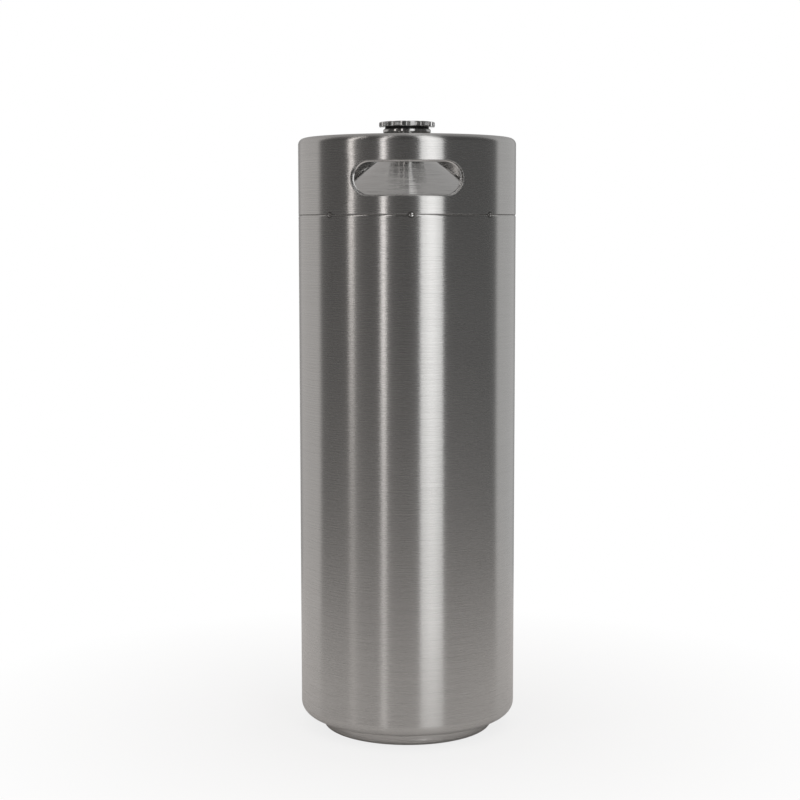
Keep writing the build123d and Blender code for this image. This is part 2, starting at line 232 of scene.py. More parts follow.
class StudioSettings(bpy.types.PropertyGroup):
    """Camera, lamps and background."""

    lens: number("Lens", "Focal length in millimetres", 75.83)
    distance: length("Camera distance", "From the keg's axis to the camera", 1446.6)
    height: length("Camera height", "Height of the camera above the floor", 430.6)
    tilt: angle("Camera tilt", "How far the camera looks down", 5.808)
    turn: angle("Camera turn", "How far the camera looks to the left", 0.2464)
    roll: angle("Camera roll", "How far the camera leans", -0.072)
    lamp_distance: length("Lamp distance", "From the keg's axis to the softboxes", 2200.0)
    floor_radius: length("Floor", "Radius of the pale floor", 620.0)
    dark_room: number("Dark side", "Brightness of the room behind the camera", 0.048)
    side_room: number("Dark sides", "Brightness of the room at both sides", 0.082)
    low_room: number("Dark floor", "What the floor beyond the pale floor adds to the dark side", 0.16)
    pale_room: number("Pale side", "Brightness of the sweep beside the keg", 0.5)
    far_room: number("Far side", "Brightness behind the keg, beside the white backdrop", 0.3)
    backdrop_edge: angle("Backdrop edge", "From straight ahead to where the white backdrop starts", 168.0)
    ceiling: number("Ceiling", "Brightness of the ceiling", 0.42)
    sweep_edge: angle("Sweep edge", "From straight ahead to where the pale sweep starts", 104.0)
    sweep_blur: angle("Sweep blur", "Angle over which the sweep's edge fades", 5.5)
    sweep_turn: angle("Sweep turn", "How far the sweep is turned to the right", 2.2)


GROUPS = {
    "keg_shell": ShellSizes,
    "keg_ring": RingSizes,
    "keg_neck": NeckSizes,
    "keg_cap": CapSizes,
    "keg_weld": WeldSizes,
    "keg_finish": FinishColours,
    "keg_studio": StudioSettings,
}


# Outlines

def bent(points, bends, steps=10, guard=0.3 * MM):
    """A path of (radius, level) points with an arc at each inner point, guarded by a point at both ends."""
    path = [Vector(points[0])]
    for before, corner, after, bend in zip(points, points[1:], points[2:], bends):
        corner = Vector(corner)
        into = (corner - Vector(before)).normalized()
        out = (Vector(after) - corner).normalized()
        turn = into.angle_signed(out)
        cut = bend * tan(abs(turn) / 2)
        start = corner - into * cut
        side = Vector((into.y, -into.x)) * (1 if turn > 0 else -1)
        centre = start + side * bend
        path.append(start - into * guard)
        for step in range(steps + 1):
            swing = -turn * step / steps
            spoke = start - centre
            path.append(centre + Vector((
                spoke.x * cos(swing) - spoke.y * sin(swing),
                spoke.x * sin(swing) + spoke.y * cos(swing),
            )))
        path.append(corner + out * (cut + guard))
    path.append(Vector(points[-1]))
    return path


def thickened(path, wall):
    """A closed outline: the path, and back along it at the wall's distance on its left for wall > 0."""
    inner = []
    for index, point in enumerate(path):
        before = path[max(index - 1, 0)]
        after = path[min(index + 1, len(path) - 1)]
        along = (after - before).normalized()
        inner.append(point + Vector((-along.y, along.x)) * wall)
    return path + inner[::-1]


def rounded(points, steps=4):
    """A closed outline of (radius, level, rounding) points."""
    outline = []
    for index, (x, y, rounding) in enumerate(points):
        corner = Vector((x, y))
        if not rounding:
            outline.append(corner)
            continue
        before = Vector(points[index - 1][:2])
        after = Vector(points[(index + 1) % len(points)][:2])
        outline += bent([before, corner, after], [rounding], steps, rounding * 0.1)[1:-1]
    return outline


def evenly(start, end, steps):
    """Evenly spaced values, without the last."""
    return [start + (end - start) * step / steps for step in range(steps)]


def stadium_point(half_straight, radius, x, z):
    """The point of a stadium outline that faces a point outside it."""
    core = max(-half_straight, min(half_straight, x))
    reach = hypot(x - core, z)
    return core + radius * (x - core) / reach, radius * z / reach


# Meshes

def linked(name, data):
    """A new object in the scene."""
    obj = bpy.data.objects.new(name, data)
    bpy.context.scene.collection.objects.link(obj)
    return obj


def piece(name, mesh, body, slot, *nodes):
    """Makes a mesh a piece of the keg that rides a body and stands for CAD nodes."""
    mesh.name = name
    obj = linked(name, mesh)
    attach(obj, body)
    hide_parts(*nodes)


def smooth(mesh, material, crease=35.0):
    """Gives a finished mesh its material, smooth faces and sharp edges above an angle."""
    mesh.materials.clear()
    mesh.materials.append(material)
    mesh.polygons.foreach_set("use_smooth", [True] * len(mesh.polygons))
    mesh.set_sharp_from_angle(angle=radians(crease))
    return mesh


def from_bmesh(bm, material, merge=0.002 * MM):
    """A smooth mesh with its doubles merged and its faces outwards."""
    if merge:
        bmesh.ops.remove_doubles(bm, verts=bm.verts, dist=merge)
    bmesh.ops.recalc_face_normals(bm, faces=bm.faces)
    mesh = bpy.data.meshes.new("keg_mesh")
    bm.to_mesh(mesh)
    bm.free()
    return smooth(mesh, material)


def joined(meshes, material):
    """Several closed meshes as one."""
    bm = bmesh.new()
    for mesh in meshes:
        bm.from_mesh(mesh)
    return from_bmesh(bm, material, merge=None)


def turned(outline, steps, material):
    """A mesh of a closed outline of (radius, level) points, turned about the Z axis."""
    bm = bmesh.new()
    spokes = [2 * pi * step / steps for step in range(steps)]
    rings = []
    for radius, level in outline:
        if radius < 0.001 * MM:
            rings.append([bm.verts.new((0, 0, level))])
        else:
            rings.append([bm.verts.new((radius * cos(a), radius * sin(a), level)) for a in spokes])
    for ring, following in zip(rings, rings[1:] + rings[:1]):
        if len(ring) == 1 and len(following) == 1:
            continue
        for step in range(steps):
            after = (step + 1) % steps
            corners = [ring[step % len(ring)], ring[after % len(ring)]]
            corners += [following[after % len(following)], following[step % len(following)]]
            bm.faces.new(list(dict.fromkeys(corners)))
    return from_bmesh(bm, material)


def settled(obj):
    """The object's mesh with its modifiers worked in; the object itself is removed."""
    obj.update_tag()
    bpy.context.view_layer.update()
    mesh = bpy.data.meshes.new_from_object(obj.evaluated_get(bpy.context.evaluated_depsgraph_get()))
    old = obj.data
    bpy.data.objects.remove(obj)
    if old.users == 0:
        bpy.data.meshes.remove(old)
    return mesh


# Nodes

def add_node(tree, kind, inputs=None, **settings):
    """Adds a node, sets its properties and fills or links its inputs."""
    node = tree.nodes.new(kind)
    for key, value in settings.items():
        setattr(node, key, value)
    for key, value in (inputs or {}).items():
        if isinstance(value, bpy.types.NodeSocket):
            tree.links.new(value, node.inputs[key])
        else:
            node.inputs[key].default_value = value
    return node


def output_of(tree, kind, inputs=None, output=0, **settings):
    """Adds a node and gives one of its outputs."""
    return add_node(tree, kind, inputs, **settings).outputs[output]


def maths(tree, operation, *values):
    """The result of a sum on numbers and number outputs."""
    return output_of(tree, "ShaderNodeMath", dict(enumerate(values)), operation=operation)


def vector_maths(tree, operation, *values, **inputs):
    """The result of a sum on vectors: a number for LENGTH, and otherwise a vector."""
    result = "Value" if operation == "LENGTH" else "Vector"
    inputs.update(enumerate(values))
    return output_of(tree, "ShaderNodeVectorMath", inputs, result, operation=operation)


def taken_apart(tree, place):
    """X, Y and Z of a place, its part square to the Z axis, and its distance from the axis."""
    parts = add_node(tree, "ShaderNodeSeparateXYZ", {0: place}).outputs
    flat = output_of(tree, "ShaderNodeCombineXYZ", {"X": parts["X"], "Y": parts["Y"]})
    return parts, flat, vector_maths(tree, "LENGTH", flat)


def new_tree(name, *inputs):
    """A geometry tree with named inputs of (name, kind, default), and the outputs that give them."""
    tree = bpy.data.node_groups.new(name, "GeometryNodeTree")
    tree.interface.new_socket(name="Geometry", in_out="OUTPUT", socket_type="NodeSocketGeometry")
    for title, kind, *default in (*inputs, ("Material", "Material")):
        item = tree.interface.new_socket(name=title, in_out="INPUT", socket_type="NodeSocket" + kind)
        if default:
            item.default_value = default[0]
    return tree, tree.nodes.new("NodeGroupInput").outputs


def ended(tree, geometry, material):
    """The tree, ended in Realize Instances and Set Material."""
    solid = output_of(tree, "GeometryNodeRealizeInstances", {0: geometry})
    dressed = output_of(tree, "GeometryNodeSetMaterial", {"Geometry": solid, "Material": material})
    tree.links.new(dressed, tree.nodes.new("NodeGroupOutput").inputs[0])
    return tree


def ring_tree():
    """Tree that sets copies of a shape round the Z axis, each turned to face outwards."""
    tree, source = new_tree(
        "Round the axis",
        ("Shape", "Object"),
        ("Copies", "Int", 8),
        ("Level", "Float", 0.0),
        ("First angle", "Float", 0.0),
        ("Size variation", "Float", 0.0),
        ("Seed", "Int", 3),
    )
    share = maths(tree, "DIVIDE", output_of(tree, "GeometryNodeInputIndex"), source["Copies"])
    facing = maths(tree, "ADD", maths(tree, "MULTIPLY", share, 2 * pi), source["First angle"])
    place = output_of(tree, "ShaderNodeCombineXYZ", {"Z": source["Level"]})
    shape = output_of(tree, "GeometryNodeObjectInfo", {"Object": source["Shape"]}, "Geometry")
    least = maths(tree, "SUBTRACT", 1.0, source["Size variation"])
    size = add_node(
        tree, "FunctionNodeRandomValue", {2: least, 3: 1.0, "Seed": source["Seed"]}, data_type="FLOAT"
    )
    drawn = next(result for result in size.outputs if result.enabled)
    copies = output_of(tree, "GeometryNodeInstanceOnPoints", {
        "Points": output_of(tree, "GeometryNodePoints", {"Count": source["Copies"], "Position": place}),
        "Instance": shape,
        "Rotation": output_of(tree, "ShaderNodeCombineXYZ", {"Z": facing}),
        "Scale": output_of(tree, "ShaderNodeCombineXYZ", {"X": 1.0, "Y": drawn, "Z": 1.0}),
    })
    return ended(tree, copies, source["Material"])


def thread_tree():
    """Tree that winds a ridge of a given section up a right-hand helix on the Z axis."""
    tree, source = new_tree(
        "Thread ridge",
        ("Radius", "Float", 0.01),
        ("Pitch", "Float", 0.003),
        ("Turns", "Float", 3.0),
        ("Level", "Float", 0.0),
        ("Steps", "Int", 96),
        ("Section", "Object"),
    )
    helix = output_of(tree, "GeometryNodeCurveSpiral", {
        "Resolution": source["Steps"],
        "Rotations": source["Turns"],
        "Start Radius": source["Radius"],
        "End Radius": source["Radius"],
        "Height": maths(tree, "MULTIPLY", source["Pitch"], source["Turns"]),
        "Reverse": True,
    })
    section = output_of(tree, "GeometryNodeObjectInfo", {"Object": source["Section"]}, "Geometry")
    ridge = output_of(tree, "GeometryNodeCurveToMesh", {
        "Curve": output_of(tree, "GeometryNodeSetCurveNormal", {"Curve": helix}, mode="Z_UP"),
        "Profile Curve": section,
        "Fill Caps": True,
    })
    shift = output_of(tree, "ShaderNodeCombineXYZ", {"Z": source["Level"]})
    placed = output_of(tree, "GeometryNodeTransform", {"Geometry": ridge, "Translation": shift})
    return ended(tree, placed, source["Material"])


def notch_tree():
    """Tree that presses round notches into the rim of a disc on the Z axis."""
    tree, source = new_tree(
        "Notched rim",
        ("Disc", "Geometry"),
        ("Radius", "Float", 0.023),
        ("Notches", "Int", 12),
        ("Notch radius", "Float", 0.0017),
        ("Notch depth", "Float", 0.0013),
        ("Rounding", "Float", 0.0005),
    )
    rim_share = 0.9
    radius = source["Radius"]
    parts, flat, reach = taken_apart(tree, output_of(tree, "GeometryNodeInputPosition"))
    around = maths(tree, "ARCTAN2", parts["Y"], parts["X"])
    off = maths(tree, "PINGPONG", around, maths(tree, "DIVIDE", pi, source["Notches"]))
    bottom = maths(tree, "SUBTRACT", radius, source["Notch depth"])
    centre = maths(tree, "ADD", bottom, source["Notch radius"])
    aside = maths(tree, "MULTIPLY", centre, maths(tree, "SINE", off))
    square = maths(tree, "POWER", source["Notch radius"], 2.0)
    inside = maths(tree, "SUBTRACT", square, maths(tree, "POWER", aside, 2.0))
    ahead = maths(tree, "MULTIPLY", centre, maths(tree, "COSINE", off))
    floor = maths(tree, "SUBTRACT", ahead, maths(tree, "SQRT", inside))
    pressed = maths(tree, "SMOOTH_MIN", floor, radius, source["Rounding"])
    in_notch = maths(tree, "GREATER_THAN", inside, 0.0)
    depth = maths(tree, "MULTIPLY", maths(tree, "SUBTRACT", radius, pressed), in_notch)
    outward = vector_maths(tree, "NORMALIZE", flat)
    moved = output_of(tree, "GeometryNodeSetPosition", {
        "Geometry": source["Disc"],
        "Selection": maths(tree, "GREATER_THAN", reach, maths(tree, "MULTIPLY", radius, rim_share)),
        "Offset": vector_maths(tree, "SCALE", outward, Scale=maths(tree, "MULTIPLY", depth, -1.0)),
    })
    return ended(tree, moved, source["Material"])


def grown(tree, values, material, start=None):
    """The plain mesh that a tree makes from its named inputs, and from a mesh to start with."""
    host = linked("keg_host", start or bpy.data.meshes.new("keg_host"))
    modifier = host.modifiers.new("Grown", "NODES")
    modifier.node_group = tree
    names = {item.name: item.identifier for item in tree.interface.items_tree if item.in_out == "INPUT"}
    for name, value in dict(values, Material=material).items():
        modifier[names[name]] = value
    return smooth(settled(host), material)


def round_the_axis(shape, copies, material, level=0.0, first=0.0, variation=0.0):
    """Copies of a mesh round the keg's axis, as one mesh."""
    model = linked("keg_model", shape)
    tree = bpy.data.node_groups.get("Round the axis") or ring_tree()
    mesh = grown(tree, {
        "Shape": model,
        "Copies": copies,
        "Level": level,
        "First angle": first,
        "Size variation": variation,
    }, material)
    bpy.data.objects.remove(model)
    return mesh


def thread_ridge(radius, depth, level, turns, outward, material, sink=0.3 * MM, steps=72):
    """A thread ridge of the neck's pitch that stands out of a wall, outward or inward."""
    sizes = bpy.context.scene.keg_neck
    sign = 1 if outward else -1
    section = bpy.data.curves.new("keg_section", "CURVE")
    section.dimensions = "2D"
    spline = section.splines.new("POLY")
    spline.points.add(3)
    corners = [
        (-sign * sink, -sizes.root_width / 2),
        (sign * depth, -sizes.crest_width / 2),
        (sign * depth, sizes.crest_width / 2),
        (-sign * sink, sizes.root_width / 2),
    ]
    for point, (out, up) in zip(spline.points, corners):
        point.co = (out, up, 0, 1)
    spline.use_cyclic_u = True
    model = linked("keg_section", section)
    tree = bpy.data.node_groups.get("Thread ridge") or thread_tree()
    mesh = grown(tree, {
        "Radius": radius,
        "Pitch": sizes.pitch,
        "Turns": turns,
        "Level": level,
        "Steps": steps,
        "Section": model,
    }, material)
    bpy.data.objects.remove(model)
    return mesh


# Materials

def new_material(name, metallic=1.0, roughness=0.3, **sockets):
    """A material with a Principled shader, whose constant values sit on the shader's own sockets."""
    material = bpy.data.materials.new(name)
    material.use_nodes = True
    shader = material.node_tree.nodes["Principled BSDF"]
    shader.inputs["Metallic"].default_value = metallic
    shader.inputs["Roughness"].default_value = roughness
    for key, value in sockets.items():
        shader.inputs[key.replace("_", " ")].default_value = value
    return material, material.node_tree, shader


def object_place(tree):
    """A point of the piece on the keg's own coordinates."""
    return output_of(tree, "ShaderNodeTexCoord", output="Object")


def line_noise(tree, along, across, detail=3.0, seed=0.0):
    """Noise drawn out along the turning direction: a length along a brush line, and one across it."""
    parts, _, radius = taken_apart(tree, object_place(tree))
    vector = output_of(tree, "ShaderNodeCombineXYZ", {
        "X": maths(tree, "MULTIPLY", parts["X"], 1 / along),
        "Y": maths(tree, "MULTIPLY", parts["Y"], 1 / along),
        "Z": maths(tree, "MULTIPLY_ADD", parts["Z"], 1 / across, seed),
    })
    outward = maths(tree, "MULTIPLY", radius, 1 / across)
    inputs = {"Vector": vector, "W": outward, "Scale": 1.0, "Detail": detail}
    return output_of(tree, "ShaderNodeTexNoise", inputs, noise_dimensions="4D")


def cloud_noise(tree, size, detail=2.0):
    """Soft even noise of a given size."""
    inputs = {"Vector": object_place(tree), "Scale": 1 / size, "Detail": detail}
    return output_of(tree, "ShaderNodeTexNoise", inputs, noise_dimensions="3D")


def spread(tree, value, low, high, start=0.3, end=0.7):
    """A value that runs from low to high while another runs from start to end."""
    inputs = {"Value": value, "From Min": start, "From Max": end, "To Min": low, "To Max": high}
    return output_of(tree, "ShaderNodeMapRange", inputs)


def blend(tree, share, first, second):
    """Mix of two numbers or number outputs."""
    return output_of(tree, "ShaderNodeMix", {"Factor": share, "A": first, "B": second})


def blend_colour(tree, share, first, second):
    """Mix of two colours or colour outputs."""
    ends = {6: first, 7: second}
    for key, value in ends.items():
        if not isinstance(value, bpy.types.NodeSocket):
            ends[key] = (*value, 1.0)
    return output_of(tree, "ShaderNodeMix", {"Factor": share, **ends}, 2, data_type="RGBA")


def shaded(base, share):
    """A colour made darker or lighter."""
    return tuple(channel * share for channel in base)


def bump(tree, height, strength, distance):
    """The normal of a surface that stands up with a value."""
    return output_of(tree, "ShaderNodeBump", {"Height": height, "Strength": strength, "Distance": distance})


def swayed_normal(tree, amount, noise, aside, rise):
    """The surface normal, swayed round the axis by noise and turned aside and upward by set slopes."""
    normal = output_of(tree, "ShaderNodeNewGeometry", output="Normal")
    round_axis = vector_maths(tree, "CROSS_PRODUCT", (0.0, 0.0, 1.0), normal)
    sway = maths(tree, "MULTIPLY_ADD", maths(tree, "SUBTRACT", noise, 0.5), amount, aside)
    push = vector_maths(tree, "SCALE", round_axis, Scale=sway)
    both = vector_maths(tree, "ADD", push, output_of(tree, "ShaderNodeCombineXYZ", {"Z": rise}))
    return vector_maths(tree, "NORMALIZE", vector_maths(tree, "ADD", normal, both))


def axis_tangent(tree):
    """The direction round the axis, along which the steel is brushed or turned."""
    return output_of(tree, "ShaderNodeTangent", direction_type="RADIAL", axis="Z")


def tack_marks(tree, bead_rim=(0.5, 0.62), dark_ring_rim=(0.7, 1.0)):
    """The tacks' beads and the rings round them where the steel's colour is made darker, 1 inside the rim
    and 0 outside, and the beads' slopes.
    """
    welds = bpy.context.scene.keg_weld
    level = bottom_of("handle_ring") - welds.tack_drop
    half = pi / welds.tack_count
    parts, _, _ = taken_apart(tree, object_place(tree))
    around = maths(tree, "ADD", maths(tree, "ARCTAN2", parts["Y"], parts["X"]), pi / 2 - welds.tack_turn)
    off = maths(tree, "WRAP", around, half, -half)
    aside = maths(tree, "MULTIPLY", off, 2 * reach_of("handle_ring") / welds.dark_ring_length)
    above = maths(tree, "MULTIPLY", maths(tree, "SUBTRACT", parts["Z"], level), 2 / welds.dark_ring_height)
    squares = [maths(tree, "POWER", value, 2.0) for value in (aside, above)]
    reach = maths(tree, "SQRT", maths(tree, "ADD", *squares))
    bead = spread(tree, reach, 1.0, 0.0, *bead_rim)
    dark_ringed = spread(tree, reach, 1.0, 0.0, *dark_ring_rim)
    slope = maths(tree, "MULTIPLY", bead, welds.tack_slope)
    return bead, dark_ringed, maths(tree, "MULTIPLY", slope, aside), maths(tree, "MULTIPLY", slope, above)


def slot_lips(tree, parts, radius, depth=4.2 * MM, band=1.9 * MM, margin=2 * MM):
    """Whether a point is as deep in the ring as a finger slot's lip, and whether it is level with it."""
    ring = bpy.context.scene.keg_ring
    middle = bottom_of("handle_ring") + ring.slot_rise
    deep = maths(tree, "COMPARE", radius, reach_of("handle_ring") - depth, band)
    level = maths(tree, "COMPARE", parts["Z"], middle, ring.slot_height / 2 + margin)
    return deep, level


def brushed_steel(name):
    """Stainless steel brushed round the axis: finer on the cone, plain on the foot and the slots' lips."""
    roughness, unevenness, lip_roughness = 0.27, 0.015, 0.2
    sway, rise, stretch = 0.026, 0.6, 0.97
    cone_roughness_share, cone_sway_share = 0.5, 0.35
    cone_edge = (66 * MM, 76 * MM)
    foot_edge = (top_of("foot_ring"), top_of("foot_ring") + 1.5 * MM)
    line_range, blur_range = (0.75, 1.25), (0.4, 1.4)
    colours = bpy.context.scene.keg_finish
    material, tree, shader = new_material(name, roughness=roughness, Anisotropic_Rotation=0.25)
    parts, _, radius = taken_apart(tree, object_place(tree))
    coarse = line_noise(tree, 70 * MM, 0.5 * MM, seed=3.0)
    fine = line_noise(tree, 24 * MM, 0.22 * MM, seed=11.0)
    marks = line_noise(tree, 10 * MM, 0.3 * MM, seed=23.0)
    share = spread(tree, maths(tree, "ADD", coarse, fine), 0.0, 1.0, *line_range)
    bead, dark_ringed, aside, above = tack_marks(tree)
    plain = maths(tree, "MULTIPLY_ADD", *slot_lips(tree, parts, radius), bead)
    lined = blend_colour(tree, share, colours.steel_dark, colours.steel)
    # The steel's colour is made darker in a ring round each tack weld.
    marked = blend_colour(tree, dark_ringed, lined, colours.dark_ring)
    blurred = maths(tree, "ADD", cloud_noise(tree, 60 * MM), share)
    uneven = spread(tree, blurred, roughness + unevenness, roughness - unevenness, *blur_range)
    finer = maths(tree, "MULTIPLY", uneven, spread(tree, radius, cone_roughness_share, 1.0, *cone_edge))
    on_cone = spread(tree, radius, 1.0, 0.0, *cone_edge)
    risen = maths(tree, "MULTIPLY_ADD", spread(tree, fine, -rise, rise), on_cone, above)
    calmer = spread(tree, radius, sway * cone_sway_share, sway, *cone_edge)
    swayed = spread(tree, plain, calmer, 0.0, 0.0, 1.0)
    drawn = spread(tree, parts["Z"], 0.0, stretch, *foot_edge)
    looks = {
        "Base Color": blend_colour(tree, bead, marked, colours.turned),
        "Roughness": spread(tree, plain, finer, lip_roughness, 0.0, 1.0),
        "Normal": swayed_normal(tree, swayed, marks, aside, risen),
        "Tangent": axis_tangent(tree),
        "Anisotropic": spread(tree, plain, drawn, 0.0, 0.0, 1.0),
    }
    for key, value in looks.items():
        tree.links.new(value, shader.inputs[key])
    return material


def turned_steel(name, roughness=0.19):
    """Lathe-turned steel, polished, with faint rings."""
    base = bpy.context.scene.keg_finish.turned
    material, tree, shader = new_material(
        name, roughness=roughness, Anisotropic=0.92, Anisotropic_Rotation=0.25
    )
    rings = line_noise(tree, 90 * MM, 0.25 * MM, detail=2.0, seed=5.0)
    looks = {
        "Tangent": axis_tangent(tree),
        "Base Color": blend_colour(tree, spread(tree, rings, 0.0, 1.0), shaded(base, 0.86), base),
        "Roughness": spread(tree, rings, roughness + 0.05, roughness - 0.03),
        "Normal": bump(tree, rings, 0.12, 0.02 * MM),
    }
    for key, value in looks.items():
        tree.links.new(value, shader.inputs[key])
    return material


def grained(
    name, first, second, size, detail, roughness, rough=None, relief=None, share=(0, 1), metallic=1.0
):
    """A finish with an even grain between two colours, and, if given, two roughnesses and a relief."""
    material, tree, shader = new_material(name, metallic=metallic, roughness=roughness)
    grain = cloud_noise(tree, size, detail)
    tinted = blend_colour(tree, spread(tree, grain, *share), first, second)
    tree.links.new(tinted, shader.inputs["Base Color"])
    if rough:
        tree.links.new(spread(tree, grain, *rough), shader.inputs["Roughness"])
    if relief:
        tree.links.new(bump(tree, grain, *relief), shader.inputs["Normal"])
    return material


def vessel_steel(name):
    """Pickled steel of the inner vessel: satin, with faint blotches."""
    steel = bpy.context.scene.keg_finish.steel
    return grained(name, shaded(steel, 0.85), steel, 12 * MM, 4.0, 0.4, rough=(0.34, 0.48))


def weld_steel(name):
    """Weld metal: uneven and darkened by its heat."""
    colours = bpy.context.scene.keg_finish
    return grained(
        name, colours.weld, colours.weld_tint, 1.2 * MM, 3.0, 0.24,
        rough=(0.16, 0.32), relief=(0.3, 0.08 * MM), share=(0, 0.7, 0.4, 0.8),
    )


def copper_foil(name):
    """Bright copper foil with soft creases."""
    copper = bpy.context.scene.keg_finish.copper
    return grained(name, shaded(copper, 0.75), copper, 9 * MM, 3.0, 0.22, relief=(0.4, 0.3 * MM))


def black_rubber(name):
    """Matt black seal rubber with a fine moulded grain."""
    rubber = bpy.context.scene.keg_finish.rubber
    return grained(
        name, rubber, shaded(rubber, 2.2), 0.35 * MM, 2.0, 0.55,
        rough=(0.48, 0.66), relief=(0.2, 0.03 * MM), metallic=0.0,
    )


def dull_metal(name, base, roughness):
    """Cast solder or pressed powder: dull and finely speckled."""
    return grained(name, shaded(base, 0.6), base, 0.6 * MM, 3.0, roughness, relief=(0.4, 0.05 * MM))


FINISHES = {
    "brushed_stainless": brushed_steel,
    "turned_stainless": turned_steel,
    "vessel_stainless": vessel_steel,
    "weld_metal": weld_steel,
    "copper_foil": copper_foil,
    "gasket_rubber": black_rubber,
    "solder": lambda name: dull_metal(name, (0.5, 0.5, 0.5), 0.42),
    "getter_metal": lambda name: dull_metal(name, (0.3, 0.3, 0.3), 0.62),
}


def finish(slot):
    """The one material of a slot."""
    name = slot + "_finish"
    return bpy.data.materials.get(name) or FINISHES[slot](name)


# Operators

class KEG_OT_outer_shell(bpy.types.Operator):
    """Build the brushed outer shell: side, shoulder cone and rounded base"""

    bl_idname = "keg.outer_shell"
    bl_label = "Outer shell"

    def execute(self, context):
        sizes = context.scene.keg_shell
        radius = reach_of("outer_tube")
        floor = bottom_of("outer_base")
        neck = context.scene.keg_neck.neck_radius
        corner = bottom_of("outer_shoulder") + sizes.shoulder_skirt
        well_bend = 1.6 * MM
        path = bent(
            [
                (neck, top_of("outer_shoulder")),
                (neck, corner + (radius - neck) * tan(sizes.slope)),
                (radius, corner),
                (radius, floor),
                (sizes.well_radius, floor),
                (sizes.well_radius - sizes.well_depth, floor + sizes.well_depth),
                (sizes.port_radius, floor + sizes.well_depth),
            ],
            [sizes.neck_bend, sizes.shoulder_bend, sizes.base_bend, well_bend, well_bend],
        )
        mesh = turned(thickened(path, -sizes.wall), sizes.turn_steps, finish("brushed_stainless"))
        piece("outer_shell", mesh, "keg", "brushed_stainless", "outer_tube", "outer_shoulder", "outer_base")
        return {"FINISHED"}


class KEG_OT_foot(bpy.types.Operator):
    """Build the recessed foot ring and the cover under the base"""

    bl_idname = "keg.foot"
    bl_label = "Foot ring and cover"

    def execute(self, context):
        sizes = context.scene.keg_shell
        steel = finish("brushed_stainless")
        radius = reach_of("foot_ring")
        hem = radius - sizes.hem_width
        path = bent(
            [(radius, top_of("foot_ring")), (radius, 0), (hem, 0), (hem, sizes.hem_rise)],
            [sizes.foot_bend, sizes.hem_bend],
        )
        mesh = turned(thickened(path, -sizes.foot_wall), sizes.turn_steps, steel)
        piece("foot_ring_rolled", mesh, "keg", "brushed_stainless", "foot_ring")
        flange = reach_of("base_cover")
        low = bottom_of("base_cover")
        high = top_of("base_cover") - sizes.cover_wall
        pan = flange - sizes.cover_flange
        path = bent(
            [(flange, high), (pan, high), (pan - (high - low), low), (0, low)],
            [sizes.cover_bend, sizes.cover_bend],
        )
        mesh = turned(thickened(path, -sizes.cover_wall), sizes.turn_steps, steel)
        piece("base_cover_pan", mesh, "keg", "brushed_stainless", "base_cover")
        return {"FINISHED"}


